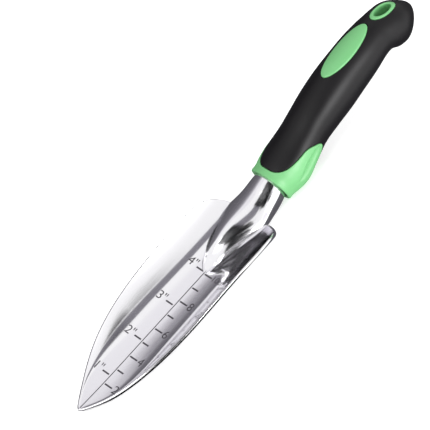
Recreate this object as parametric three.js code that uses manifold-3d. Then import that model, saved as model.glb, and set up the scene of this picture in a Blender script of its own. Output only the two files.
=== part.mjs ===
// Soft-grip hand trowel: a cast aluminium head, a green moulded handle core over its tang, and a black
// rubber grip sleeve round the core. Millimetres, +X from blade tip to butt, +Z up. Inside this file
// x = 0 is the blade tip and z = 0 the blade's inner floor; the last lines move that frame so that the
// origin is the middle of the trowel's length on the surface it lies on.
import * as THREE from "three";
import { mergeVertices } from "three/addons/utils/BufferGeometryUtils.js";
import Module from "manifold-3d";

// Blade: a pointed scoop with a flat floor and walls that rise at a soft crease.
const FLOOR_THICKNESS = 3;
const RIM_THICKNESS = 2.3;
const TIP_THICKNESS = 1.5;
const TIP_THINNING_LENGTH = 30;
const RIM_BULGE = 0.4;
const BLADE_HALF_WIDTH = 26.4;
const BLADE_WIDEST_X = 105;
const TIP_TAPER = 3.3;
const TIP_HALF_WIDTH = 1;
const SHOULDER_X = 112;
const SHOULDER_ROUNDNESS = 3.8;
const BLADE_BACK_X = 142.5;
const BACK_HALF_WIDTH = 11;
const RIM_HEIGHT = 13.5;
const RIM_TAPER = 1.75;
const FLOOR_HALF_WIDTH = 12.5;
const FLOOR_TAPER = 1.5;
const CREASE_SOFTNESS = 0.22;
const BLADE_STEPS = 34;
const BLADE_ACROSS = 16;
const END_CROWDING = 0.1;

// Scale engraved on the blade floor: a centre line, centimetre ticks and inch ticks.
const ENGRAVING_DEPTH = 0.4;
const CENTIMETRE = 10;
const INCH = 25.4;
const SCALE_LENGTH = 100;
const LINE_START_X = 2;
const TICK_LENGTH = 5;
const INCH_TICK_START_Y = 1;
const TICK_WIDTH = 0.9;
const LINE_WIDTH = 0.5;

// Ridge, neck and tang: [x, top, bottom, half width] of their sections.
const NECK_SECTIONS = [
  [100.5, 0.2, -1, 0.4],
  [102, 3.2, -1.2, 2.8],
  [106, 7, -1.4, 5.2],
  [113, 11, -1.6, 7.4],
  [121, 13.6, -1.8, 9.6],
  [131, 14.6, -2.2, 12.6],
  [138, 14.4, -2.8, 13.8],
  [142, 14.2, -2.9, 13],
  [147, 15, -2.9, 11.3],
  [152, 16.9, -2.6, 10.9],
  [158, 19, -0.8, 10.7],
  [164, 18.6, 2, 8],
  [176, 18, 7.4, 5.6],
  [192, 23, 14, 4.6],
  [212, 28.4, 21.4, 3.8],
  [236, 31.4, 26.6, 3],
];
const NECK_SIDES = 24;
const NECK_STEPS = 32;
const NECK_CROWDING = 1.25;
const NECK_SQUARENESS = 2.1;

// Handle: [x, top, bottom, half width] of the outside of the finished grip and collar.
const HANDLE_SECTIONS = [
  [157, 21.8, -2.6, 12.8],
  [160.5, 22.2, -2.3, 12.7],
  [165, 23.6, -2.7, 13.6],
  [171, 25.2, -2.7, 14.3],
  [177, 27, -2.1, 13.9],
  [185, 30, 1, 12.9],
  [195, 34.2, 6.4, 12.4],
  [206, 37.9, 9.2, 12.9],
  [218, 40.8, 11.2, 13.2],
  [230, 42.6, 13.8, 12.9],
  [242, 43.7, 16.6, 12.5],
  [252, 43.8, 19.2, 11.6],
  [257, 43.4, 18.8, 11.3],
  [262, 42.6, 15.4, 11.8],
  [268, 41.3, 14.2, 11.8],
  [275, 39, 16.2, 10.8],
  [283, 35, 20, 9],
];
const HANDLE_END_X = 282.6;
const BUTT_ROUNDING = 15;
const BUTT_ROUNDING_SHARE = 0.28;
const BUTT_CAP_SHARE = 0.03;
const FRONT_LEAN = 0.17;
const LEAN_END_X = 186;
const HANDLE_SIDES = 28;
const HANDLE_STEPS = 31;
const HANDLE_SQUARENESS = 2.15;
const GRIP_THICKNESS = 2.5;
const FIT_GAP = 0.3;
const BOSS_STANDS_PROUD = 0.35;

// Edge between the green collar and the black grip: [x, degrees from the top] down one side.
const COLLAR_EDGE = [
  [161, 0],
  [162, 25],
  [166.5, 43],
  [174, 51],
  [181, 59],
  [187, 77],
  [191.5, 100],
  [189, 122],
  [185, 150],
  [184, 180],
];
const COLLAR_EDGE_RADIUS = 13;
const COLLAR_EDGE_SEGMENTS = 56;
const COLLAR_CUT_RADII = { outer: 20, inner: 8 };

// Thumb oval, hang hole and the leaf-shaped hollow in each collar wing.
const THUMB_OVAL = { x: 234, halfLength: 18.6, halfWidth: 6.3 };
const HANG_BOSS = { x: 266.6, halfLength: 8.3, halfWidth: 4.4 };
const HANG_HOLE = { x: 266.6, halfLength: 5.7, halfWidth: 3.1 };
const HANG_TILT = THREE.MathUtils.degToRad(-5);
const HANG_BOSS_MIDDLE_Z = 28;
const HANG_COLUMN_REACH = 30;
const THUMB_COLUMN_Z = { bottom: 34, top: 60 };
const OVAL_SEGMENTS = 24;
const WING_HOLLOW = { x: 179.5, z: 13.4, halfLength: 12, depth: 1.6, halfHeight: 3.2, slope: 0.4 };
const HOLLOW_SEGMENTS = { around: 20, high: 12 };

const wasm = await Module();
wasm.setup();

function solid(geometry) {
  const bare = geometry.clone();
  bare.deleteAttribute("normal");
  bare.deleteAttribute("uv");
  const merged = mergeVertices(bare, 1e-4);
  return new wasm.Manifold(
    new wasm.Mesh({
      numProp: 3,
      vertProperties: merged.attributes.position.array,
      triVerts: new Uint32Array(merged.index.array),
    }),
  );
}

function toGeometry(manifold) {
  const mesh = manifold.getMesh();
  const geometry = new THREE.BufferGeometry();
  geometry.setAttribute("position", new THREE.BufferAttribute(mesh.vertProperties, 3));
  geometry.setIndex(new THREE.BufferAttribute(mesh.triVerts, 1));
  geometry.computeVertexNormals();
  return geometry;
}

// Moves every vertex of a geometry to where place(vertex) says.
function reshape(geometry, place) {
  const position = geometry.attributes.position;
  const vertex = new THREE.Vector3();
  for (let i = 0; i < position.count; i += 1) {
    vertex.fromBufferAttribute(position, i);
    place(vertex);
    position.setXYZ(i, vertex.x, vertex.y, vertex.z);
  }
  return geometry;
}

// A smooth curve through [x, value, value, ...] rows: returns the values at any x.
function throughRows(rows) {
  return (x) => {
    let i = 0;
    while (i < rows.length - 2 && x > rows[i + 1][0]) i += 1;
    const before = rows[Math.max(i - 1, 0)];
    const from = rows[i];
    const to = rows[i + 1];
    const after = rows[Math.min(i + 2, rows.length - 1)];
    const span = to[0] - from[0];
    const t = THREE.MathUtils.clamp((x - from[0]) / span, 0, 1);
    return from.slice(1).map((value, k) => {
      const slopeFrom = ((to[k + 1] - before[k + 1]) / (to[0] - before[0])) * span;
      const slopeTo = ((after[k + 1] - value) / (after[0] - from[0])) * span;
      const blend = t * t * (3 - 2 * t);
      const bendFrom = t * (1 - t) * (1 - t);
      const bendTo = t * t * (t - 1);
      return value + (to[k + 1] - value) * blend + slopeFrom * bendFrom + slopeTo * bendTo;
    });
  };
}

// One point of a rounded section: angle 0 is the top, and squareness 2 is a true ellipse.
function roundSection(angle, top, bottom, halfWidth, squareness) {
  const power = 2 / squareness;
  const up = Math.sign(Math.cos(angle)) * Math.abs(Math.cos(angle)) ** power;
  const side = Math.sign(Math.sin(angle)) * Math.abs(Math.sin(angle)) ** power;
  return { y: halfWidth * side, z: (top + bottom) / 2 + ((top - bottom) / 2) * up };
}

// A closed bar whose wall point at (t along it, angle round it) is place(t, angle).
function bar(sides, steps, place) {
  const unit = new THREE.CylinderGeometry(1, 1, 1, sides, steps);
  return reshape(unit, (vertex) => {
    const t = vertex.y + 0.5;
    const isCapCentre = Math.hypot(vertex.x, vertex.z) < 0.5;
    const angle = Math.atan2(-vertex.x, vertex.z);
    if (isCapCentre) {
      vertex.copy(place(t, 0)).add(place(t, Math.PI)).multiplyScalar(0.5);
      vertex.y = 0;
    } else {
      vertex.copy(place(t, angle));
    }
  });
}

// ---------------------------------------------------------------- trowel head

// Rises from 0 at the tip and levels off at 1 where x reaches full.
function levelsOff(x, full, taper) {
  return 1 - (1 - Math.min(x, full) / full) ** taper;
}

function bladeHalfWidth(x) {
  const pointed = levelsOff(x, BLADE_WIDEST_X, TIP_TAPER);
  const straight = THREE.MathUtils.lerp(TIP_HALF_WIDTH, BLADE_HALF_WIDTH, pointed);
  if (x <= SHOULDER_X) return straight;
  const round = (x - SHOULDER_X) / (BLADE_BACK_X - SHOULDER_X);
  const shrink = Math.sqrt(1 - round ** SHOULDER_ROUNDNESS);
  return THREE.MathUtils.lerp(BACK_HALF_WIDTH, straight, shrink);
}

// How far a point lies up the wall: 0 on the flat floor, 1 at the rim.
function wallShare(x, y) {
  const halfWidth = bladeHalfWidth(Math.min(x, SHOULDER_X));
  const floor = FLOOR_HALF_WIDTH * (halfWidth / BLADE_HALF_WIDTH) ** FLOOR_TAPER;
  return Math.max((Math.abs(y) - floor) / (halfWidth - floor), 0);
}

function troughHeight(x, y) {
  const rim = RIM_HEIGHT * levelsOff(x, SHOULDER_X, RIM_TAPER);
  const soft = (distance) => Math.hypot(distance, CREASE_SOFTNESS) - CREASE_SOFTNESS;
  return (rim * soft(wallShare(x, y))) / soft(1);
}

function bladeThickness(x, y) {
  const floor = THREE.MathUtils.lerp(
    TIP_THICKNESS, FLOOR_THICKNESS, THREE.MathUtils.smoothstep(x, 0, TIP_THINNING_LENGTH));
  return THREE.MathUtils.lerp(floor, Math.min(floor, RIM_THICKNESS), wallShare(x, y));
}

function blade() {
  const block = new THREE.BoxGeometry(1, 2, 1, BLADE_STEPS, BLADE_ACROSS, 2);
  return reshape(block, (vertex) => {
    const t = vertex.x + 0.5;
    const x = BLADE_BACK_X * (t - END_CROWDING * Math.sin(2 * Math.PI * t));
    const y = vertex.y * bladeHalfWidth(x);
    const isMiddleLayer = Math.abs(vertex.z) < 0.1;
    const bulge = isMiddleLayer ? vertex.y * RIM_BULGE : 0;
    const z = troughHeight(x, y) + (vertex.z - 0.5) * bladeThickness(x, y);
    vertex.set(x, y + bulge, z);
  });
}

const neckSection = throughRows(NECK_SECTIONS);

function ridgeNeckAndTang(clearance) {
  const start = NECK_SECTIONS[0][0];
  const end = NECK_SECTIONS.at(-1)[0] + clearance;
  return bar(NECK_SIDES, NECK_STEPS, (t, angle) => {
    const x = THREE.MathUtils.lerp(start, end, t ** NECK_CROWDING);
    const [top, bottom, halfWidth] = neckSection(x);
    const { y, z } = roundSection(
      angle, top + clearance, bottom - clearance, halfWidth + clearance, NECK_SQUARENESS);
    return new THREE.Vector3(x, y, z);
  });
}

function engravedBar(length, width, x, y) {
  const box = new THREE.BoxGeometry(length, width, 2 * ENGRAVING_DEPTH);
  return solid(box.translate(x, y, 0));
}

function engraveScale(head) {
  let engraved = head.subtract(
    engravedBar(SCALE_LENGTH - LINE_START_X, LINE_WIDTH, (SCALE_LENGTH + LINE_START_X) / 2, 0));
  for (let x = 2 * CENTIMETRE; x <= SCALE_LENGTH; x += CENTIMETRE) {
    engraved = engraved.subtract(engravedBar(TICK_WIDTH, TICK_LENGTH, x, -TICK_LENGTH / 2));
  }
  for (let x = INCH; x < SCALE_LENGTH + INCH / 4; x += INCH) {
    engraved = engraved.subtract(
      engravedBar(TICK_WIDTH, TICK_LENGTH, x, INCH_TICK_START_Y + TICK_LENGTH / 2));
  }
  return engraved;
}

function trowelHead() {
  return engraveScale(solid(blade()).add(solid(ridgeNeckAndTang(0))));
}

// ---------------------------------------------------------------- handle

const handleSection = throughRows(HANDLE_SECTIONS);

function handleMiddle(x) {
  const [top, bottom] = handleSection(x);
  return (top + bottom) / 2;
}

// The handle's outer form, or the same form drawn in by an inset all round.
function handleForm(inset) {
  const start = HANDLE_SECTIONS[0][0] + Math.max(inset, 0);
  const end = HANDLE_END_X - inset;
  const roundFrom = end - BUTT_ROUNDING;
  return bar(HANDLE_SIDES, HANDLE_STEPS, (t, angle) => {
    const straight = Math.min(t / (1 - BUTT_ROUNDING_SHARE), 1);
    const round = (Math.max(t - 1 + BUTT_ROUNDING_SHARE, 0) / BUTT_ROUNDING_SHARE) * (Math.PI / 2);
    const x = THREE.MathUtils.lerp(start, roundFrom, straight) + BUTT_ROUNDING * Math.sin(round);
    const shrink = Math.max(Math.cos(round), BUTT_CAP_SHARE);
    const [top, bottom, halfWidth] = handleSection(x);
    const middle = (top + bottom) / 2;
    const halfHeight = ((top - bottom) / 2 - inset) * shrink;
    const { y, z } = roundSection(
      angle, middle + halfHeight, middle - halfHeight, (halfWidth - inset) * shrink, HANDLE_SQUARENESS);
    const lean = FRONT_LEAN * (1 - THREE.MathUtils.smoothstep(x, start, LEAN_END_X));
    return new THREE.Vector3(x - lean * (z - top), y, z);
  });
}

// Everything in front of the collar's back edge, grown by a gap.
function collarZone(gap) {
  const half = COLLAR_EDGE.map(([x, degrees]) => {
    return new THREE.Vector2(x, THREE.MathUtils.degToRad(degrees) * COLLAR_EDGE_RADIUS);
  });
  const otherHalf = half.slice(1, -1).reverse().map((p) => {
    return new THREE.Vector2(p.x, 2 * Math.PI * COLLAR_EDGE_RADIUS - p.y);
  });
  const fullTurn = new THREE.Vector2(half[0].x, 2 * Math.PI * COLLAR_EDGE_RADIUS);
  const edge = new THREE.SplineCurve([...half, ...otherHalf, fullTurn]);
  const { outer, inner } = COLLAR_CUT_RADII;
  const handleFront = HANDLE_SECTIONS[0][0];
  const profile = [[0, 0], [outer, 0], [outer, 1], [inner, 1], [0, 1]];
  const unit = new THREE.LatheGeometry(
    profile.map(([radius, height]) => new THREE.Vector2(radius, height)), COLLAR_EDGE_SEGMENTS);
  return reshape(unit, (vertex) => {
    const turn = (Math.atan2(-vertex.x, vertex.z) / (2 * Math.PI) + 1) % 1;
    const radius = Math.hypot(vertex.x, vertex.z);
    const point = edge.getPoint(turn);
    const tangent = edge.getTangent(turn);
    const arc = point.y - gap * tangent.x;
    const angle = arc / COLLAR_EDGE_RADIUS;
    let x = handleFront - outer;
    if (vertex.y > 0.5) x = radius > inner / 2 ? point.x + gap * tangent.y : COLLAR_EDGE[0][0] + gap;
    vertex.set(x, radius * Math.sin(angle), handleMiddle(x) + radius * Math.cos(angle));
  });
}

// An upright oval column through the handle.
function ovalColumn({ x, halfLength, halfWidth }, grow, bottom, top) {
  const outline = new THREE.Shape();
  outline.absellipse(0, 0, halfLength + grow, halfWidth + grow, 0, 2 * Math.PI);
  const column = new THREE.ExtrudeGeometry(outline, {
    depth: top - bottom,
    bevelEnabled: false,
    curveSegments: OVAL_SEGMENTS,
  });
  return column.translate(0, 0, bottom).translate(x, 0, 0);
}

function hangColumn(size, grow) {
  const column = ovalColumn({ ...size, x: 0 }, grow, -HANG_COLUMN_REACH, HANG_COLUMN_REACH);
  return solid(column.rotateY(HANG_TILT).translate(size.x, 0, HANG_BOSS_MIDDLE_Z));
}

function thumbColumn(grow) {
  return solid(ovalColumn(THUMB_OVAL, grow, THUMB_COLUMN_Z.bottom, THUMB_COLUMN_Z.top));
}

function wingHollow(side) {
  const { x, z, halfLength, depth, halfHeight, slope } = WING_HOLLOW;
  const { around, high } = HOLLOW_SEGMENTS;
  const leaf = new THREE.SphereGeometry(1, around, high).scale(halfLength, 2 * depth, halfHeight);
  const halfWidth = handleSection(x)[2];
  return solid(leaf.rotateY(-slope).translate(x, side * (halfWidth + depth), z));
}

function handleCore() {
  const outside = solid(handleForm(0));
  const proud = solid(handleForm(-BOSS_STANDS_PROUD));
  const cavity = solid(ridgeNeckAndTang(FIT_GAP));
  const collar = outside.intersect(solid(collarZone(0)));
  const hangBoss = proud.intersect(hangColumn(HANG_BOSS, 0));
  const thumbBoss = proud.intersect(thumbColumn(0));
  return solid(handleForm(GRIP_THICKNESS))
    .add(collar)
    .add(hangBoss)
    .add(thumbBoss)
    .subtract(hangColumn(HANG_HOLE, 0))
    .subtract(wingHollow(1))
    .subtract(wingHollow(-1))
    .subtract(cavity);
}

function gripSleeve() {
  return solid(handleForm(0))
    .subtract(solid(handleForm(GRIP_THICKNESS - FIT_GAP)))
    .subtract(solid(collarZone(FIT_GAP)))
    .subtract(hangColumn(HANG_BOSS, FIT_GAP))
    .subtract(thumbColumn(FIT_GAP));
}

// ---------------------------------------------------------------- assembly

function piece(name, manifold, color, roughness, metalness) {
  const material = new THREE.MeshStandardMaterial({ color, roughness, metalness });
  const mesh = new THREE.Mesh(toGeometry(manifold), material);
  mesh.name = name;
  return mesh;
}

const assembly = new THREE.Group();
assembly.add(
  piece("trowel_head", trowelHead(), 0xdcdce0, 0.15, 1),
  piece("handle_core", handleCore(), 0x83cc8c, 0.45, 0),
  piece("grip_sleeve", gripSleeve(), 0x221f24, 0.55, 0),
);
assembly.position.set(-HANDLE_END_X / 2, 0, FLOOR_THICKNESS);

const trowel = new THREE.Group();
trowel.add(assembly);

export default trowel;
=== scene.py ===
import math

import bpy
from mathutils import Matrix, Vector


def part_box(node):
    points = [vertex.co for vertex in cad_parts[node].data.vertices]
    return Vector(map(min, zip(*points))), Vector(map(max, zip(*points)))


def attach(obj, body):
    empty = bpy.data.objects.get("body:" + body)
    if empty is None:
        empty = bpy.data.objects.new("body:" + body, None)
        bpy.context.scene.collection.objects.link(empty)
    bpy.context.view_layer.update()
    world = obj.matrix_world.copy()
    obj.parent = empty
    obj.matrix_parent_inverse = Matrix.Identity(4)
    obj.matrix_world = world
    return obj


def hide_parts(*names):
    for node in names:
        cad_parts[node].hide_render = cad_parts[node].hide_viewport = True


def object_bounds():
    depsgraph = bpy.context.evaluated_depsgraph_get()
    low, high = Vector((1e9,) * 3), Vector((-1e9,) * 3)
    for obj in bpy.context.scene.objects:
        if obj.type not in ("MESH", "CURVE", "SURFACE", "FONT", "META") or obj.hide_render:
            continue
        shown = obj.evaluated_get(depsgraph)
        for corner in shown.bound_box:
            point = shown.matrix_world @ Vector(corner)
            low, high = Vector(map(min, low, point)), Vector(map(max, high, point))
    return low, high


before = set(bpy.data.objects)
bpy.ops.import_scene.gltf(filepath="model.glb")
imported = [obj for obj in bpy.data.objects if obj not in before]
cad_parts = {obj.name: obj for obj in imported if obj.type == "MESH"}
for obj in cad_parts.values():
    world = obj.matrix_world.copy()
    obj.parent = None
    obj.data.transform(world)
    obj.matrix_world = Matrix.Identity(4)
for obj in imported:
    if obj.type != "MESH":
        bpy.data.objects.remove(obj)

cad_low, cad_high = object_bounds()
bpy.ops.object.select_all(action="DESELECT")


# ---------------------------------------------------------------- camera
# A long lens well back from the bench looks down at the trowel from its blade end, turned so that
# the handle points to the upper right.
camera_data = bpy.data.cameras.new("camera")
camera_data.lens = 238.3
camera_data.sensor_width = 36
camera = bpy.data.objects.new("camera", camera_data)
bpy.context.scene.collection.objects.link(camera)
bpy.context.scene.camera = camera
camera_turn = (
    Matrix.Rotation(math.radians(-23.15), 3, "Z")
    @ Matrix.Rotation(math.radians(39.1), 3, "X")
    @ Matrix.Rotation(math.radians(-29.14), 3, "Z")
)
CAMERA_DISTANCE = 1.5
AIM_OFFSET = Vector((-0.019, 0, 0.0071))
aim = (cad_low + cad_high) / 2 + AIM_OFFSET
camera.matrix_world = Matrix.Translation(aim + camera_turn.col[2] * CAMERA_DISTANCE) @ camera_turn.to_4x4()


# ---------------------------------------------------------------- bench and light
# A pale matt bench and a white light tent with soft boxes. Black, grey and pale cards that only
# reflections see draw the dark bands and soft gradients in the polished metal.
def colour(code):
    """Linear colour from an sRGB hex code."""
    channels = [int(code[i : i + 2], 16) / 255 for i in (1, 3, 5)]
    linear = [c / 12.92 if c <= 0.04045 else ((c + 0.055) / 1.055) ** 2.4 for c in channels]
    return (*linear, 1)


def add_node(tree, kind, inputs=None, **settings):
    """Adds a node, gives it its settings, and sets or links its inputs."""
    new = tree.nodes.new(kind)
    for key, value in settings.items():
        setattr(new, key, value)
    for key, value in (inputs or {}).items():
        if isinstance(value, bpy.types.NodeSocket):
            tree.links.new(value, new.inputs[key])
        else:
            new.inputs[key].default_value = value
    return new


def material(name):
    """An empty material with its node tree, ready for its nodes."""
    made = bpy.data.materials.new(name)
    made.use_nodes = True
    made.node_tree.nodes.clear()
    return made, made.node_tree


def card(name, middle, width, height, tilt, turn, code):
    """A flat card seen only in reflections: level at tilt 0, upright at tilt 90, then turned."""
    bpy.ops.mesh.primitive_plane_add(size=1, location=middle)
    made = bpy.context.object
    made.name = name
    made.scale = (width, height, 1)
    made.rotation_euler = (math.radians(tilt), 0, math.radians(turn))
    made.visible_camera = False
    made.visible_diffuse = False
    made.visible_shadow = False
    surface, tree = material(name)
    glow = add_node(tree, "ShaderNodeEmission", {"Color": colour(code), "Strength": 1.0})
    add_node(tree, "ShaderNodeOutputMaterial", {"Surface": glow.outputs[0]})
    made.data.materials.append(surface)


def soft_box(name, azimuth, elevation, size, power, distance=1.4):
    """A square soft box that faces the trowel."""
    turn, rise = math.radians(azimuth), math.radians(elevation)
    away = Vector((math.cos(turn) * math.cos(rise), math.sin(turn) * math.cos(rise), math.sin(rise)))
    lamp = bpy.data.lights.new(name, "AREA")
    lamp.size = size
    lamp.energy = power
    made = bpy.data.objects.new(name, lamp)
    made.rotation_mode = "QUATERNION"
    made.rotation_quaternion = away.to_track_quat("Z", "Y")
    made.location = (cad_low + cad_high) / 2 + away * distance
    bpy.context.scene.collection.objects.link(made)
    return made


world = bpy.data.worlds.new("light_tent")
world.use_nodes = True
bpy.context.scene.world = world
world.node_tree.nodes.clear()
tent = add_node(world.node_tree, "ShaderNodeBackground", {"Color": colour("#ffffff"), "Strength": 1.0})
add_node(world.node_tree, "ShaderNodeOutputWorld", {"Surface": tent.outputs[0]})
bpy.context.scene.view_settings.view_transform = "Standard"

BLACK = "#060608"
LID_Z = 1.2
BACKDROP_X = 0.2
BACKDROP_Y = 1.2
BACKDROP_WIDTH = 1.6
BACKDROP_STRIPS = [  # height, tone, from the bench upwards
    (0.45, "#66646a"),
    (0.35, "#6f6d73"),
    (0.25, "#7d7b81"),
    (0.2, "#98969c"),
    (0.2, "#c8c6cb"),
    (1.1, "#f2f1f4"),
]

soft_box("key", azimuth=200, elevation=62, size=0.7, power=6)
soft_box("side", azimuth=275, elevation=14, size=0.5, power=15)
card("black_lid", (-0.28, -0.225, LID_Z), 0.76, 0.65, 0, 0, BLACK)
card("grey_lid", (0.4, -0.23, LID_Z), 0.6, 0.5, 0, 0, "#85838a")
card("black_slope", (-0.22, -0.85, LID_Z), 0.84, 0.6, 0, 0, BLACK)
card("black_upright", (-0.31, -1.16, 0.6), 0.6, 1.2, 90, -14.6, BLACK)
card("pale_side", (0.26, -1.16, 0.25), 0.7, 0.5, 90, 0, "#e6e4ea")
card("grey_mat", (0, 0.56, 0.0006), 2.0, 1.2, 0, 0, "#5f5e63")
card("black_mat", (-0.09, -0.075, 0.0007), 0.13, 0.13, 0, 0, BLACK)
backdrop_low = 0.0
for height, code in BACKDROP_STRIPS:
    middle = (BACKDROP_X, BACKDROP_Y, backdrop_low + height / 2)
    card("backdrop", middle, BACKDROP_WIDTH, height, 90, 0, code)
    backdrop_low += height

bpy.ops.mesh.primitive_plane_add(size=6)
bench = bpy.context.object
bench.name = "bench"
# Flat white with no highlight and a barely seen 110 mm mottle. Its faint glow keeps shadows light.
bench_surface, tree = material("matt_white_laminate")
place = add_node(tree, "ShaderNodeTexCoord").outputs["Object"]
mottle = add_node(tree, "ShaderNodeTexNoise", {"Vector": place, "Scale": 9.0})
tone = add_node(tree, "ShaderNodeMapRange", {"Value": mottle.outputs[0], "To Min": 0.93, "To Max": 0.96})
white = add_node(tree, "ShaderNodeCombineColor", {i: tone.outputs[0] for i in range(3)})
laminate = add_node(
    tree,
    "ShaderNodeBsdfPrincipled",
    {
        "Base Color": white.outputs[0],
        "Roughness": 0.9,
        "Emission Color": colour("#ffffff"),
        "Emission Strength": 0.3,
    },
)
add_node(tree, "ShaderNodeOutputMaterial", {"Surface": laminate.outputs[0]})
bench.data.materials.append(bench_surface)


# ---------------------------------------------------------------- trowel head
# One aluminium casting, polished all over: a pointed scoop with a shallow dished floor, a
# ridge that grows out of the floor into a round neck, and a tang that runs on inside the handle.
# Millimetres, measured from the blade's tip and from the inner floor of the scoop.
FLOOR_THICKNESS = 3.0
RIM_THICKNESS = 2.3
TIP_THICKNESS = 1.5
TIP_THINNING_LENGTH = 30.0
RIM_ROUNDING = 0.9
RIM_FULLNESS = 0.8
BLADE_HALF_WIDTH = 26.4
BLADE_WIDEST_X = 105.0
TIP_TAPER = 3.3
TIP_HALF_WIDTH = 1.0
TIP_ROUNDING = 1.6
SHOULDER_X = 112.0
SHOULDER_ROUNDNESS = 3.8
BLADE_BACK_X = 142.5
BACK_HALF_WIDTH = 11.0
RIM_HEIGHT = 13.5
RIM_TAPER = 1.75
FLOOR_HALF_WIDTH = 10.3
FLOOR_LEAST_HALF_WIDTH = 0.1
FLOOR_TAPER = 4
WALL_LEAST_WIDTH = 3.0
DISH_SHARE = 0.35
TIP_DISH_SHARE = 0.05
TIP_WALL_CURVE = 3.4
TIP_WALL_END_X = 60.0
WALL_CURVE = 1.9
TIP_LIFT = 1.0
TIP_LIFT_LENGTH = 30.0
ACROSS = 60
ROUND_RIM = 8
TIP_STEPS = 10
SIDE_STEPS = 84
SHOULDER_STEPS = 26
NECK_SECTIONS = [  # x, top, bottom, half width
    (100.5, 0.2, -1, 0.4),
    (102, 3.2, -1.2, 2.8),
    (106, 7, -1.4, 5.2),
    (113, 11, -1.6, 7.4),
    (121, 13.6, -1.8, 9.6),
    (131, 14.6, -2.2, 12.6),
    (138, 14.4, -2.8, 13.8),
    (142, 14.2, -2.9, 13),
    (147, 15, -2.9, 11.3),
    (152, 16.9, -2.6, 10.9),
    (158, 19, -0.8, 10.7),
    (164, 18.6, 2, 8),
    (176, 18, 7.4, 5.6),
    (192, 23, 14, 4.6),
    (212, 28.4, 21.4, 3.8),
    (236, 31.4, 26.6, 3),
]
NECK_SQUARENESS = 2.1
RIDGE_SQUARENESS = 1.75
RIDGE_TURNS_ROUND = (130.0, 152.0)
NECK_EVENING = 7.0
NECK_EVENING_WEIGHTS = [(-1, 1), (-0.5, 2), (0, 3), (0.5, 2), (1, 1)]  # share of the spread, weight
NECK_STEPS = 130
NECK_SIDES = 72
NECK_CROWDING = 1.35

tip = Vector((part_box("trowel_head")[0].x, 0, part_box("trowel_head")[0].z + FLOOR_THICKNESS / 1000))


def at(x, y, z):
    """A place in metres from millimetres along, across and above the blade's inner floor."""
    return tip + Vector((x, y, z)) / 1000


def lerp(a, b, share):
    return a + (b - a) * share


def smooth(x, start, end):
    """Rises smoothly from 0 at start to 1 at end."""
    share = min(max((x - start) / (end - start), 0), 1)
    return share * share * (3 - 2 * share)


def through(rows):
    """A smooth curve through rows of (x, value, value, ...): gives the values at any x."""

    def values(x):
        i = 0
        while i < len(rows) - 2 and x > rows[i + 1][0]:
            i += 1
        before, start = rows[max(i - 1, 0)], rows[i]
        end, after = rows[i + 1], rows[min(i + 2, len(rows) - 1)]
        span = end[0] - start[0]
        t = min(max((x - start[0]) / span, 0), 1)
        found = []
        for k in range(1, len(start)):
            slope_in = (end[k] - before[k]) / (end[0] - before[0]) * span
            slope_out = (after[k] - start[k]) / (after[0] - start[0]) * span
            rise = start[k] + (end[k] - start[k]) * t * t * (3 - 2 * t)
            found.append(rise + slope_in * t * (1 - t) ** 2 + slope_out * t * t * (t - 1))
        return found

    return values


def signed_power(value, power):
    return math.copysign(abs(value) ** power, value)


def round_section(angle, top, bottom, half_width, middle, squareness):
    """The (y, z) of a rounded section's edge. Angle 0 is its top."""
    side = signed_power(math.sin(angle), 2 / squareness)
    up = signed_power(math.cos(angle), 2 / squareness)
    return half_width * side, middle + up * (top - middle if up > 0 else middle - bottom)


def wrapped_grid(name, along, around, place_point):
    """A grid whose point at (row, column) is moved to place_point, with what meets merged."""
    bpy.ops.mesh.primitive_grid_add(x_subdivisions=along, y_subdivisions=around, size=2)
    piece = bpy.context.object
    piece.name = piece.data.name = name
    for vert in piece.data.vertices:
        row = round((vert.co.x + 1) / 2 * along)
        column = round((vert.co.y + 1) / 2 * around)
        vert.co = at(*place_point(row, column))
    bpy.ops.object.mode_set(mode="EDIT")
    bpy.ops.mesh.select_all(action="SELECT")
    bpy.ops.mesh.remove_doubles(threshold=2e-6)
    bpy.ops.mesh.normals_make_consistent(inside=False)
    bpy.ops.object.mode_set(mode="OBJECT")
    return piece


def levels_off(x, full, taper):
    return 1 - (1 - min(x, full) / full) ** taper


def blade_half_width(x):
    return lerp(TIP_HALF_WIDTH, BLADE_HALF_WIDTH, levels_off(x, BLADE_WIDEST_X, TIP_TAPER))


def floor_half_width(half_width):
    """The floor keeps its width until the blade is too narrow for its walls."""
    room = max(half_width - WALL_LEAST_WIDTH, FLOOR_LEAST_HALF_WIDTH)
    return FLOOR_HALF_WIDTH * room / (room**FLOOR_TAPER + FLOOR_HALF_WIDTH**FLOOR_TAPER) ** (1 / FLOOR_TAPER)


def wall_share(x, y):
    """How far a point lies up the wall: 0 on the flat floor and 1 at the rim."""
    half_width = blade_half_width(min(x, SHOULDER_X))
    floor = floor_half_width(half_width)
    return max((abs(y) - floor) / (half_width - floor), 0)


def dish_share(x):
    """How much of the rim's height comes from the dished floor, which flattens out to the tip."""
    return lerp(TIP_DISH_SHARE, DISH_SHARE, smooth(x, 0, TIP_WALL_END_X))


def scoop_height(x, y):
    """The dished floor, the walls that curve up from it, and the slightly lifted tip."""
    rim = RIM_HEIGHT * levels_off(x, SHOULDER_X, RIM_TAPER)
    half_width = blade_half_width(min(x, SHOULDER_X))
    dish = dish_share(x) * (y / half_width) ** 2
    curve = lerp(TIP_WALL_CURVE, WALL_CURVE, smooth(x, 0, TIP_WALL_END_X))
    wall = (1 - dish_share(x)) * wall_share(x, y) ** curve
    return rim * (dish + wall) + TIP_LIFT * (1 - min(x / TIP_LIFT_LENGTH, 1)) ** 2


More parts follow.
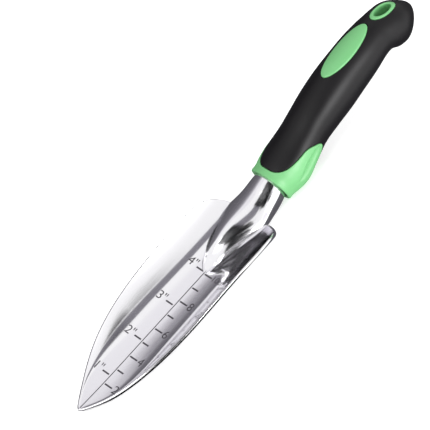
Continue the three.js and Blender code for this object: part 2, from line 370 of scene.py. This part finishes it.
def scoop_thickness(x, y):
    floor = lerp(TIP_THICKNESS, FLOOR_THICKNESS, smooth(x, 0, TIP_THINNING_LENGTH))
    thickness = lerp(floor, min(floor, RIM_THICKNESS), min(wall_share(x, y), 1))
    rim = RIM_HEIGHT * levels_off(x, SHOULDER_X, RIM_TAPER)
    dish = dish_share(x) * (y / blade_half_width(min(x, SHOULDER_X))) ** 2
    return thickness + rim * dish * (1 - smooth(wall_share(x, y), 0, 1))


outline = []
for step in range(TIP_STEPS):
    turn = step / TIP_STEPS * math.pi / 2
    x = TIP_ROUNDING * (1 - math.cos(turn))
    outline.append((x, blade_half_width(x) * math.sin(turn)))
for step in range(SIDE_STEPS):
    x = lerp(TIP_ROUNDING, SHOULDER_X, step / SIDE_STEPS)
    outline.append((x, blade_half_width(x)))
for step in range(SHOULDER_STEPS + 1):
    turn = step / SHOULDER_STEPS * math.pi / 2
    x = lerp(SHOULDER_X, BLADE_BACK_X, math.sin(turn) ** (2 / SHOULDER_ROUNDNESS))
    outline.append((x, lerp(BACK_HALF_WIDTH, blade_half_width(x), math.cos(turn))))


def blade_point(row, column):
    """Goes round the blade's section: over the top, round a rim, under it and round the other rim."""
    x, half_width = outline[row]
    before = outline[row - 1] if row else (outline[1][0], -outline[1][1])
    after = outline[min(row + 1, len(outline) - 1)]
    along = Vector((after[0] - before[0], after[1] - before[1])).normalized()
    out_x, out_y = -along.y, along.x
    inner_x = x - RIM_ROUNDING * out_x
    inner_y = max(half_width - RIM_ROUNDING * out_y, 0)
    side = ACROSS + ROUND_RIM
    face = 1 if column <= side else -1
    step = column if column <= side else column - side
    if step <= ACROSS:
        y = face * inner_y * (2 * step / ACROSS - 1)
        under = 0 if face > 0 else scoop_thickness(inner_x, y)
        return inner_x, y, scoop_height(inner_x, y) - under
    turn = math.pi / 2 - (step - ACROSS) / ROUND_RIM * math.pi
    reach = RIM_ROUNDING * math.cos(turn) ** RIM_FULLNESS
    thickness = scoop_thickness(inner_x, inner_y)
    drop = thickness / 2 * (1 - face * signed_power(math.sin(turn), RIM_FULLNESS))
    z = scoop_height(inner_x, inner_y) - drop
    return inner_x + reach * out_x, face * (inner_y + reach * out_y), z


def close_holes(piece):
    """Fills what is still open, so that the piece is one closed solid."""
    bpy.ops.object.mode_set(mode="EDIT")
    bpy.ops.mesh.select_all(action="DESELECT")
    bpy.ops.mesh.select_mode(type="EDGE")
    bpy.ops.mesh.select_non_manifold(extend=False)
    bpy.ops.mesh.edge_face_add()
    bpy.ops.mesh.select_all(action="SELECT")
    bpy.ops.mesh.normals_make_consistent(inside=False)
    bpy.ops.mesh.select_mode(type="VERT")
    bpy.ops.object.mode_set(mode="OBJECT")


head = wrapped_grid("head_casting", len(outline) - 1, 2 * (ACROSS + ROUND_RIM), blade_point)
close_holes(head)

neck_outline = through(NECK_SECTIONS)


def neck_section(x):
    """The neck's section, evened out along its length so that the polish shows no ripples."""
    spread = min(NECK_EVENING, x - NECK_SECTIONS[0][0], max(NECK_SECTIONS[-1][0] - x, 0))
    total = sum(weight for _, weight in NECK_EVENING_WEIGHTS)
    found = [0, 0, 0]
    for offset, weight in NECK_EVENING_WEIGHTS:
        found = [a + b * weight / total for a, b in zip(found, neck_outline(x + spread * offset))]
    top, bottom, half_width = found
    squareness = lerp(RIDGE_SQUARENESS, NECK_SQUARENESS, smooth(x, *RIDGE_TURNS_ROUND))
    return [top, bottom, half_width, (top + bottom) / 2, squareness]


def neck_point(row, column):
    share = min(max((row - 1) / (NECK_STEPS - 2), 0), 1)
    x = lerp(NECK_SECTIONS[0][0], NECK_SECTIONS[-1][0], share**NECK_CROWDING)
    y, z = round_section(column / NECK_SIDES * 2 * math.pi, *neck_section(x))
    if row in (0, NECK_STEPS):
        y, z = 0, neck_section(x)[3]
    return x, y, z


neck = wrapped_grid("neck", NECK_STEPS, NECK_SIDES, neck_point)


def combine(piece, other, how):
    """Adds another solid to a piece, or cuts it away, and removes the other."""
    bpy.ops.object.select_all(action="DESELECT")
    bpy.context.view_layer.objects.active = piece
    modifier = piece.modifiers.new("combine", "BOOLEAN")
    modifier.operation = how
    modifier.object = other
    modifier.solver = "EXACT"
    modifier.material_mode = "TRANSFER"
    bpy.ops.object.modifier_apply(modifier=modifier.name)
    bpy.data.objects.remove(other)


# Bright mirror-like metal. Polishing lines about 0.7 mm apart, drawn coarser than real ones so that
# they show, run along the blade, and faint 22 mm waves keep it looking cast and hand-polished.
polished, tree = material("polished_cast_aluminium")
place = add_node(tree, "ShaderNodeTexCoord").outputs["Object"]
lines = add_node(tree, "ShaderNodeMapping", {"Vector": place, "Scale": (60, 1500, 1500)})
scratches = add_node(tree, "ShaderNodeTexNoise", {"Vector": lines.outputs[0], "Scale": 1.0, "Detail": 3.0})
waves = add_node(tree, "ShaderNodeTexNoise", {"Vector": place, "Scale": 45.0, "Detail": 1.0})
dull = add_node(
    tree, "ShaderNodeMapRange", {"Value": scratches.outputs[0], "To Min": 0.1, "To Max": 0.17})
hills = add_node(
    tree, "ShaderNodeBump", {"Height": waves.outputs[0], "Strength": 0.03, "Distance": 0.0004})
relief = add_node(
    tree,
    "ShaderNodeBump",
    {"Height": scratches.outputs[0], "Strength": 0.04, "Distance": 0.00002, "Normal": hills.outputs[0]},
)
metal = add_node(
    tree,
    "ShaderNodeBsdfPrincipled",
    {
        "Base Color": colour("#f4f3f6"),
        "Metallic": 1.0,
        "Roughness": dull.outputs[0],
        "Normal": relief.outputs[0],
    },
)
add_node(tree, "ShaderNodeOutputMaterial", {"Surface": metal.outputs[0]})
head.data.materials.append(polished)
neck.data.materials.append(polished)
combine(head, neck, "UNION")

# The depth scale is pressed into the floor and darkened: a centre line, inch ticks with their
# numbers on one side, and centimetre ticks with every second number on the other.
ENGRAVING_DEPTH = 0.3
CENTIMETRE = 10.0
INCH = 25.4
SCALE_LENGTH = 100.0
LINE_START_X = 1.5
LINE_END_X = 100.5
LINE_WIDTH = 0.55
TICK_WIDTH = 0.95
TICK_START_Y = 0.9
LONG_TICK = 5.6
SHORT_TICK = 4.6
INCH_TICK = 5.0
INCH_TICK_Y = 3.7
LAST_INCH_TICK_X = 101.0
SLICE = 1.5
DIGIT_HEIGHT = 5.2
DIGIT_SHARE_OF_TYPE = 0.72
DIGIT_SLICES = (6, 8)
INCH_NUMBER_Y = 9.9
INCH_NUMBER_SHIFT = 0.6
CENTIMETRE_NUMBER_Y = -9.0
UNIT_LABEL = {"x": SCALE_LENGTH + 0.2, "y": -12.2, "height": 3.8}

# Dull dark grey, so that the marks read against the polish. Its 0.4 mm mottle is etched metal's grain.
etched, tree = material("darkened_etched_aluminium")
place = add_node(tree, "ShaderNodeTexCoord").outputs["Object"]
pits = add_node(tree, "ShaderNodeTexNoise", {"Vector": place, "Scale": 2500.0, "Detail": 2.0})
tone = add_node(
    tree,
    "ShaderNodeMix",
    {0: pits.outputs[0], 6: colour("#4b494e"), 7: colour("#6a676d")},
    data_type="RGBA",
)
oxide = add_node(
    tree,
    "ShaderNodeBsdfPrincipled",
    {"Base Color": tone.outputs[2], "Metallic": 0.6, "Roughness": 0.6},
)
add_node(tree, "ShaderNodeOutputMaterial", {"Surface": oxide.outputs[0]})


def press_into_floor(cutter):
    """Lets a flat upright cutter follow the scoop: its top half stands clear and its rest sinks in."""
    for vert in cutter.data.vertices:
        x, y = (vert.co.x - tip.x) * 1000, vert.co.y * 1000
        above = ENGRAVING_DEPTH if vert.co.z > 0 else -ENGRAVING_DEPTH
        vert.co = at(x, y, scoop_height(x, y) + above)
    cutter.data.materials.clear()
    cutter.data.materials.append(etched)


def slice_up(cutter, axis, steps):
    """Cuts a cutter into steps along x (0) or y (1), so that it can follow the scoop."""
    places = [vert.co[axis] for vert in cutter.data.vertices]
    normal = Vector((1 - axis, axis, 0))
    bpy.ops.object.mode_set(mode="EDIT")
    for step in range(1, steps):
        bpy.ops.mesh.select_all(action="SELECT")
        cut = normal * lerp(min(places), max(places), step / steps)
        bpy.ops.mesh.bisect(plane_co=cut, plane_no=normal)
    bpy.ops.object.mode_set(mode="OBJECT")


def bar_cutter(x, y, length, width):
    """A straight bar on the blade, length along it and width across it."""
    bpy.ops.mesh.primitive_cube_add(size=1)
    cutter = bpy.context.object
    bpy.ops.object.mode_set(mode="EDIT")
    bpy.ops.mesh.select_all(action="SELECT")
    bpy.ops.transform.resize(value=(length / 1000, width / 1000, 0.001))
    bpy.ops.transform.translate(value=(tip.x + x / 1000, y / 1000, 0))
    bpy.ops.object.mode_set(mode="OBJECT")
    slice_up(cutter, 0, math.ceil(length / SLICE))
    slice_up(cutter, 1, math.ceil(width / SLICE))
    press_into_floor(cutter)
    return cutter


def number_cutter(words, x, y, height=DIGIT_HEIGHT):
    """Generic scale numbers, upright towards the handle."""
    bpy.ops.object.text_add(location=(0, 0, 0))
    text = bpy.context.object
    text.data.body = words
    text.data.size = height / DIGIT_SHARE_OF_TYPE / 1000
    text.data.extrude = 0.001
    text.data.align_x = "CENTER"
    text.data.align_y = "CENTER"
    text.data.resolution_u = 5
    bpy.ops.object.convert(target="MESH")
    cutter = bpy.context.object
    turned = Matrix.Translation((tip.x + x / 1000, y / 1000, 0)) @ Matrix.Rotation(-math.pi / 2, 4, "Z")
    cutter.data.transform(turned)
    bpy.ops.object.mode_set(mode="EDIT")
    bpy.ops.mesh.select_all(action="SELECT")
    bpy.ops.mesh.remove_doubles(threshold=1e-6)
    bpy.ops.mesh.normals_make_consistent(inside=False)
    bpy.ops.object.mode_set(mode="OBJECT")
    for axis, steps in enumerate(DIGIT_SLICES):
        slice_up(cutter, axis, steps)
    press_into_floor(cutter)
    return cutter


def joined(cutters):
    bpy.ops.object.select_all(action="DESELECT")
    for cutter in cutters:
        cutter.select_set(True)
    bpy.context.view_layer.objects.active = cutters[0]
    bpy.ops.object.join()
    return cutters[0]


centre_line = bar_cutter((LINE_START_X + LINE_END_X) / 2, 0, LINE_END_X - LINE_START_X, LINE_WIDTH)
combine(head, centre_line, "DIFFERENCE")
marks = []
for number in range(2, 11):
    length = LONG_TICK if number % 2 == 0 else SHORT_TICK
    marks.append(bar_cutter(number * CENTIMETRE, -TICK_START_Y - length / 2, TICK_WIDTH, length))
for number in range(1, 5):
    marks.append(bar_cutter(min(number * INCH, LAST_INCH_TICK_X), INCH_TICK_Y, TICK_WIDTH, INCH_TICK))
    marks.append(number_cutter(f'{number}"', number * INCH + INCH_NUMBER_SHIFT, INCH_NUMBER_Y))
for number in range(2, 10, 2):
    marks.append(number_cutter(str(number), number * CENTIMETRE, CENTIMETRE_NUMBER_Y))
marks.append(number_cutter("10cm", **UNIT_LABEL))
combine(head, joined(marks), "DIFFERENCE")


def finish_surface(piece, angle):
    """Smooths the faces that meet at less than an angle in degrees."""
    bpy.ops.object.select_all(action="DESELECT")
    piece.select_set(True)
    bpy.context.view_layer.objects.active = piece
    bpy.ops.object.shade_smooth_by_angle(angle=math.radians(angle))


finish_surface(head, 32)
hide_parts("trowel_head")
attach(head, "root")


# ---------------------------------------------------------------- handle core
# One green polypropylene moulding over the tang: the collar with its two wings and finger guard
# shows, and the stem behind it lies under the rubber. The tang fits its cavity.
HANDLE_SECTIONS = [  # x, top, bottom, half width
    (157, 21.8, -2.6, 12.8),
    (160.5, 22.2, -2.3, 12.7),
    (165, 23.6, -2.7, 13.6),
    (171, 25.2, -2.7, 14.3),
    (177, 27, -2.1, 13.9),
    (185, 30, 1, 12.9),
    (195, 34.2, 6.4, 12.4),
    (206, 37.9, 9.2, 12.9),
    (218, 40.8, 11.2, 13.2),
    (230, 42.6, 13.8, 12.9),
    (242, 43.7, 16.6, 12.5),
    (252, 43.8, 19.2, 11.6),
    (257, 43.4, 18.8, 11.3),
    (262, 42.6, 15.4, 11.8),
    (268, 41.3, 14.2, 11.8),
    (275, 39, 16.2, 10.8),
    (283, 35, 20, 9),
]
HANDLE_FRONT_X = 157.0
HANDLE_END_X = 282.6
BUTT_ROUNDING = 15.0
FRONT_LEAN = 0.17
LEAN_END_X = 186.0
HANDLE_SQUARENESS = 2.15
GRIP_THICKNESS = 2.5
FIT_GAP = 0.3
COLLAR_EDGE = [  # degrees from the top, x, carried on past both ends so that the halves mirror
    (-43, 166.5),
    (-25, 162),
    (0, 161),
    (25, 162),
    (43, 166.5),
    (51, 174),
    (59, 181),
    (77, 187),
    (100, 191.5),
    (122, 189),
    (150, 185),
    (180, 184),
    (210, 185),
    (238, 189),
]
COLLAR_EDGE_RADIUS = 13.0
FRONT_LIP = 0.9
EDGE_LIP = 0.5
LIP_STEPS = 4
HOLLOW_START = (168.6, 10.4)
HOLLOW_END = (190.2, 17.4)
HOLLOW_HALF_WIDTH = 2.9
HOLLOW_DEPTH = 1.3
HOLLOW_FULLNESS = 0.8
HOLLOW_LEAST_REACH = 0.01

handle_section = through(HANDLE_SECTIONS)
collar_edge_x = through(COLLAR_EDGE)


def handle_point(x, angle, inset=0.0):
    """A point of the handle's outer form, or of the same form drawn in by an inset."""
    end = HANDLE_END_X - inset
    x = min(x, end)
    top, bottom, half_width = handle_section(x)
    into_round = min(max((x - end + BUTT_ROUNDING) / BUTT_ROUNDING, 0), 1)
    shrink = math.sqrt(1 - into_round**2)
    half_height = ((top - bottom) / 2 - inset) * shrink
    middle = (top + bottom) / 2
    y, z = round_section(
        angle, middle + half_height, middle - half_height, (half_width - inset) * shrink, middle,
        HANDLE_SQUARENESS)
    lean = FRONT_LEAN * (1 - smooth(x, HANDLE_FRONT_X, LEAN_END_X))
    return x - lean * (z - top), y, z


def beside_edge(angle, distance):
    """(x, angle) of a point at a distance behind the collar's back edge, measured square to it."""
    degrees = abs(math.degrees(angle))
    slope = collar_edge_x(degrees + 0.5)[0] - collar_edge_x(degrees - 0.5)[0]
    arc = math.radians(1) * COLLAR_EDGE_RADIUS
    long = math.hypot(slope, arc)
    turned = abs(angle) - distance * slope / long / COLLAR_EDGE_RADIUS
    return collar_edge_x(degrees)[0] + distance * arc / long, math.copysign(turned, angle)


def hollow_depth(x, z):
    """The leaf-shaped hollow pressed into each wing of the collar."""
    start, end, point = Vector(HOLLOW_START), Vector(HOLLOW_END), Vector((x, z))
    axis = end - start
    share = (point - start).dot(axis) / axis.length_squared
    if not 0 < share < 1:
        return 0
    across = (point - start).cross(axis) / axis.length
    leaf = 4 * share * (1 - share)
    reach = across / (HOLLOW_HALF_WIDTH * leaf**HOLLOW_FULLNESS + HOLLOW_LEAST_REACH)
    return HOLLOW_DEPTH * math.sqrt(leaf) * max(1 - reach * reach, 0)


CORE_SIDES = 240
CAVITY_ROWS = 24
OUTER_ROWS = 56
STEM_ROWS = 20
STEM_END_X = 250.0
CAVITY_SPARE = 0.5
CAVITY_MOUTH = 0.4


def core_point(row, column):
    """Goes out of the tang's cavity, round the front lip, along the collar and back down the stem."""
    angle = (column / CORE_SIDES - 0.5) * 2 * math.pi
    if row <= CAVITY_ROWS:
        deepest, mouth = NECK_SECTIONS[-1][0] + CAVITY_SPARE, HANDLE_FRONT_X + CAVITY_MOUTH
        x = lerp(deepest, mouth, row / CAVITY_ROWS)
        section = [a + b for a, b in zip(neck_section(x), (FIT_GAP, -FIT_GAP, FIT_GAP, 0, 0))]
        if row == 0:
            return x, 0, section[3]
        y, z = round_section(angle, *section)
        lean = FRONT_LEAN * (row / CAVITY_ROWS) ** 3
        return x - lean * (z - HANDLE_SECTIONS[0][1]), y, z
    row -= CAVITY_ROWS + 1
    if row <= LIP_STEPS:
        turn = (1 - row / LIP_STEPS) * math.pi / 2
        x = HANDLE_FRONT_X + FRONT_LIP * (1 - math.sin(turn))
        return handle_point(x, angle, FRONT_LIP * (1 - math.cos(turn)))
    row -= LIP_STEPS
    if row <= OUTER_ROWS:
        edge_x, edge_angle = beside_edge(angle, -EDGE_LIP)
        share = row / OUTER_ROWS
        x = lerp(HANDLE_FRONT_X + FRONT_LIP, edge_x, share)
        turned = lerp(angle, edge_angle, share**3)
        skin = handle_point(x, turned)
        return handle_point(x, turned, hollow_depth(skin[0], skin[2]))
    row -= OUTER_ROWS
    if row <= LIP_STEPS:
        turn = row / LIP_STEPS * math.pi / 2
        x, turned = beside_edge(angle, -EDGE_LIP * (1 - math.sin(turn)))
        return handle_point(x, turned, EDGE_LIP * (1 - math.cos(turn)))
    row -= LIP_STEPS + 1
    x = lerp(beside_edge(angle, 0)[0], STEM_END_X, row / (STEM_ROWS - 1))
    if row >= STEM_ROWS:
        top, bottom, _ = handle_section(STEM_END_X)
        return STEM_END_X, 0, (top + bottom) / 2
    return handle_point(x, angle, GRIP_THICKNESS)


CORE_ROWS = CAVITY_ROWS + 1 + LIP_STEPS + OUTER_ROWS + LIP_STEPS + 1 + STEM_ROWS

# Satin green plastic: soft wide highlights, a little light carried under the skin, a 0.7 mm moulded
# grain drawn coarser than the real 0.2 mm, and 17 mm flow marks that vary the green slightly.
green, tree = material("moulded_green_polypropylene")
place = add_node(tree, "ShaderNodeTexCoord").outputs["Object"]
grain = add_node(tree, "ShaderNodeTexNoise", {"Vector": place, "Scale": 1400.0, "Detail": 3.0})
flow = add_node(tree, "ShaderNodeTexNoise", {"Vector": place, "Scale": 60.0, "Detail": 2.0})
tone = add_node(
    tree,
    "ShaderNodeMix",
    {0: flow.outputs[0], 6: colour("#62a568"), 7: colour("#6cae72")},
    data_type="RGBA",
)
satin = add_node(
    tree, "ShaderNodeMapRange", {"Value": grain.outputs[0], "To Min": 0.36, "To Max": 0.5})
relief = add_node(
    tree, "ShaderNodeBump", {"Height": grain.outputs[0], "Strength": 0.25, "Distance": 0.00006})
plastic = add_node(
    tree,
    "ShaderNodeBsdfPrincipled",
    {
        "Base Color": tone.outputs[2],
        "Roughness": satin.outputs[0],
        "IOR": 1.49,
        "Subsurface Weight": 0.06,
        "Subsurface Radius": (0.0006, 0.0012, 0.0007),
        "Normal": relief.outputs[0],
    },
)
add_node(tree, "ShaderNodeOutputMaterial", {"Surface": plastic.outputs[0]})

collar = wrapped_grid("core_collar", CORE_ROWS, CORE_SIDES, core_point)
collar.data.materials.append(green)
finish_surface(collar, 40)
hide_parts("handle_core")
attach(collar, "root")


# ---------------------------------------------------------------- grip sleeve
# Black thermoplastic rubber moulded over the core, 2.5 mm thick, with a satin skin. Openings let
# the thumb rest and both ends of the hanging bush through.
GRIP_SIDES = 128
GRIP_ROWS = 164
GRIP_BLEND_X = 222.0
GRIP_BLEND_ROWS = 76
BUTT_ROWS = 24
SECOND_ROW_DISTANCE = 0.6
EDGE_FOLLOWED_SHARE = 0.25
LEAN_PASSES = 6
ALMOST_ONE = 0.999
THUMB_OVAL = (234.0, 18.6, 6.3)  # middle x, half length, half width
HANG_BOSS = (266.6, 8.3, 4.4)
HANG_TILT = math.radians(-5)
HANG_BOSS_MIDDLE_Z = 28.0
SLEEVE_THICKNESS = 2.2
EDGE_ROUNDING = 0.4
WINDOW_MARGIN = 1.8
WINDOW_RING = 0.5


def grip_point(row, column):
    """Runs from the collar's edge to the butt, where the rows close on one point."""
    angle = (column / GRIP_SIDES - 0.5) * 2 * math.pi
    last = GRIP_ROWS - BUTT_ROWS
    round_from = HANDLE_END_X - BUTT_ROUNDING
    if row == 0:
        return handle_point(*beside_edge(angle, FIT_GAP))
    if row <= GRIP_BLEND_ROWS:
        edge_x, edge_angle = beside_edge(angle, FIT_GAP + SECOND_ROW_DISTANCE)
        share = (row - 1) / (GRIP_BLEND_ROWS - 1)
        turned = lerp(edge_angle, angle, min(share / EDGE_FOLLOWED_SHARE, 1))
        return handle_point(lerp(edge_x, GRIP_BLEND_X, share), turned)
    if row <= last:
        share = (row - GRIP_BLEND_ROWS) / (last - GRIP_BLEND_ROWS)
        return handle_point(lerp(GRIP_BLEND_X, round_from, share), angle)
    turn = (row - last) / BUTT_ROWS * math.pi / 2
    return handle_point(round_from + BUTT_ROUNDING * math.sin(turn), angle)


def skin_height(x, y, side):
    """The height of the handle's top skin (side 1) or underside (side -1) above a place."""
    top, bottom, half_width = handle_section(min(x, HANDLE_END_X))
    into_round = min(max((x - HANDLE_END_X + BUTT_ROUNDING) / BUTT_ROUNDING, 0), ALMOST_ONE)
    shrink = math.sqrt(1 - into_round**2)
    reach = min(abs(y) / (half_width * shrink), ALMOST_ONE)
    rise = (1 - reach**HANDLE_SQUARENESS) ** (1 / HANDLE_SQUARENESS)
    return (top + bottom) / 2 + side * (top - bottom) / 2 * shrink * rise


def on_skin(oval, along, across, side, lift=0.0):
    """The skin's point at (along, across) from an oval column's axis. The hang column leans."""
    x = oval[0] + along
    if oval is not HANG_BOSS:
        return x, across, skin_height(x, across, side) + lift
    for _ in range(LEAN_PASSES):
        z = skin_height(x, across, side) + side * lift
        x = oval[0] + along / math.cos(HANG_TILT) + (z - HANG_BOSS_MIDDLE_Z) * math.tan(HANG_TILT)
    return x, across, z


def open_window(piece, oval, side):
    """Takes out the skin over an oval and draws the opening's edge on to it, ring by ring."""
    _, half_length, half_width = oval
    centre = on_skin(oval, 0, 0, side)

    def reach(point, margin):
        spot = (point - tip) * 1000
        if side * (spot.z - HANG_BOSS_MIDDLE_Z) < 0:
            return math.inf
        return math.hypot((spot.x - centre[0]) / (half_length + margin), spot.y / (half_width + margin))

    bpy.ops.object.mode_set(mode="EDIT")
    bpy.ops.mesh.select_mode(type="FACE")
    bpy.ops.mesh.select_all(action="DESELECT")
    bpy.ops.object.mode_set(mode="OBJECT")
    for face in piece.data.polygons:
        face.select = reach(face.center, WINDOW_MARGIN) < 1
    bpy.ops.object.mode_set(mode="EDIT")
    bpy.ops.mesh.delete(type="FACE")
    bpy.ops.mesh.select_mode(type="VERT")
    bpy.ops.mesh.select_non_manifold(extend=False)
    bpy.ops.object.mode_set(mode="OBJECT")
    near = [v.index for v in piece.data.vertices if v.select and reach(v.co, 2 * WINDOW_MARGIN) < 1]
    bpy.ops.object.mode_set(mode="EDIT")
    bpy.ops.mesh.select_all(action="DESELECT")
    bpy.ops.object.mode_set(mode="OBJECT")
    for index in near:
        piece.data.vertices[index].select = True
    for grow in (FIT_GAP + WINDOW_RING, FIT_GAP):
        bpy.ops.object.mode_set(mode="EDIT")
        bpy.ops.mesh.extrude_edges_move()
        bpy.ops.object.mode_set(mode="OBJECT")
        for vert in piece.data.vertices:
            if vert.select:
                spot = (vert.co - tip) * 1000
                turn = math.atan2(spot.y / half_width, (spot.x - centre[0]) / half_length)
                along, across = (half_length + grow) * math.cos(turn), (half_width + grow) * math.sin(turn)
                vert.co = at(*on_skin(oval, along, across, side))


grip = wrapped_grid("rubber_grip", GRIP_ROWS, GRIP_SIDES, grip_point)
open_window(grip, THUMB_OVAL, 1)
open_window(grip, HANG_BOSS, 1)
open_window(grip, HANG_BOSS, -1)


def add_modifier(piece, kind, **settings):
    """Adds a modifier and applies it."""
    bpy.ops.object.select_all(action="DESELECT")
    piece.select_set(True)
    bpy.context.view_layer.objects.active = piece
    modifier = piece.modifiers.new(kind, kind)
    for key, value in settings.items():
        setattr(modifier, key, value)
    bpy.ops.object.modifier_apply(modifier=modifier.name)


add_modifier(grip, "SOLIDIFY", thickness=SLEEVE_THICKNESS / 1000, offset=-1)
add_modifier(
    grip,
    "BEVEL",
    width=EDGE_ROUNDING / 1000,
    segments=3,
    limit_method="ANGLE",
    angle_limit=math.radians(50),
    use_clamp_overlap=False,
)

# Soft matt black: a dim broad highlight down the side, a 0.6 mm grain drawn coarser than the real
# 0.1 mm, and 25 mm patches where handling has changed the sheen a little.
rubber, tree = material("moulded_black_rubber")
place = add_node(tree, "ShaderNodeTexCoord").outputs["Object"]
grain = add_node(tree, "ShaderNodeTexNoise", {"Vector": place, "Scale": 1600.0, "Detail": 3.0})
wear = add_node(tree, "ShaderNodeTexNoise", {"Vector": place, "Scale": 40.0, "Detail": 3.0})
tone = add_node(
    tree,
    "ShaderNodeMix",
    {0: wear.outputs[0], 6: colour("#0a090b"), 7: colour("#0f0d10")},
    data_type="RGBA",
)
satin = add_node(
    tree, "ShaderNodeMapRange", {"Value": wear.outputs[0], "To Min": 0.38, "To Max": 0.46})
relief = add_node(
    tree, "ShaderNodeBump", {"Height": grain.outputs[0], "Strength": 0.3, "Distance": 0.00008})
skin = add_node(
    tree,
    "ShaderNodeBsdfPrincipled",
    {
        "Base Color": tone.outputs[2],
        "Roughness": satin.outputs[0],
        "IOR": 1.5,
        "Specular IOR Level": 0.26,
        "Normal": relief.outputs[0],
    },
)
add_node(tree, "ShaderNodeOutputMaterial", {"Surface": skin.outputs[0]})
grip.data.materials.append(rubber)
finish_surface(grip, 40)
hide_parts("grip_sleeve")
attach(grip, "root")


# ---------------------------------------------------------------- thumb rest
# An oval boss of the green core that shows through the rubber on top of the handle, standing a
# third of a millimetre proud with a softly rounded edge.
BOSS_PROUD = 0.35
BOSS_LIP = 0.8
BOSS_SIDES = 96
BOSS_RINGS = 12
BOSS_LIP_FLATNESS = 0.6


def thumb_point(row, column):
    turn = column / BOSS_SIDES * 2 * math.pi
    _, half_length, half_width = THUMB_OVAL
    shrink, drop = 0.0, GRIP_THICKNESS
    share = 1.0
    if row == 0:
        share = 0.0
    elif row >= 2:
        lip = min((row - 2) / LIP_STEPS, 1) * math.pi / 2
        shrink = BOSS_LIP * (1 - math.cos(lip))
        drop = BOSS_LIP * (1 - math.sin(lip)) * BOSS_LIP_FLATNESS
        share = 1 - max(row - 2 - LIP_STEPS, 0) / BOSS_RINGS
    along = (half_length - shrink) * math.cos(turn) * share
    across = (half_width - shrink) * math.sin(turn) * share
    return on_skin(THUMB_OVAL, along, across, 1, BOSS_PROUD - drop)


thumb = wrapped_grid("thumb_rest", 2 + LIP_STEPS + BOSS_RINGS, BOSS_SIDES, thumb_point)
thumb.data.materials.append(green)
finish_surface(thumb, 40)
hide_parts("handle_core")
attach(thumb, "root")


# ---------------------------------------------------------------- hanging bush
# The green core lines the hanging hole: an oval tube right through the butt, whose ends stand a
# little proud of the rubber on top and underneath.
HOLE_HALF_LENGTH = 5.7
HOLE_HALF_WIDTH = 3.1
BUSH_LIP = 0.6


bush_profile = []
for side in (1, -1):
    outer_to_hole = []
    for step in range(LIP_STEPS + 1):
        lip = step / LIP_STEPS * math.pi / 2
        outer_to_hole.append((1, BUSH_LIP * (1 - math.cos(lip)), side, BUSH_LIP * (1 - math.sin(lip))))
    for step in range(LIP_STEPS + 1):
        lip = (1 - step / LIP_STEPS) * math.pi / 2
        outer_to_hole.append((0, BUSH_LIP * (1 - math.cos(lip)), side, BUSH_LIP * (1 - math.sin(lip))))
    bush_profile += outer_to_hole if side > 0 else outer_to_hole[::-1]
bush_profile.append(bush_profile[0])


def bush_point(row, column):
    is_outer, inset, side, drop = bush_profile[row]
    turn = column / BOSS_SIDES * 2 * math.pi
    if is_outer:
        half_length, half_width = HANG_BOSS[1] - inset, HANG_BOSS[2] - inset
    else:
        half_length, half_width = HOLE_HALF_LENGTH + inset, HOLE_HALF_WIDTH + inset
    along, across = half_length * math.cos(turn), half_width * math.sin(turn)
    return on_skin(HANG_BOSS, along, across, side, BOSS_PROUD - drop)


bush = wrapped_grid("hanging_bush", len(bush_profile) - 1, BOSS_SIDES, bush_point)
bush.data.materials.append(green)
finish_surface(bush, 40)
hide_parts("handle_core")
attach(bush, "root")
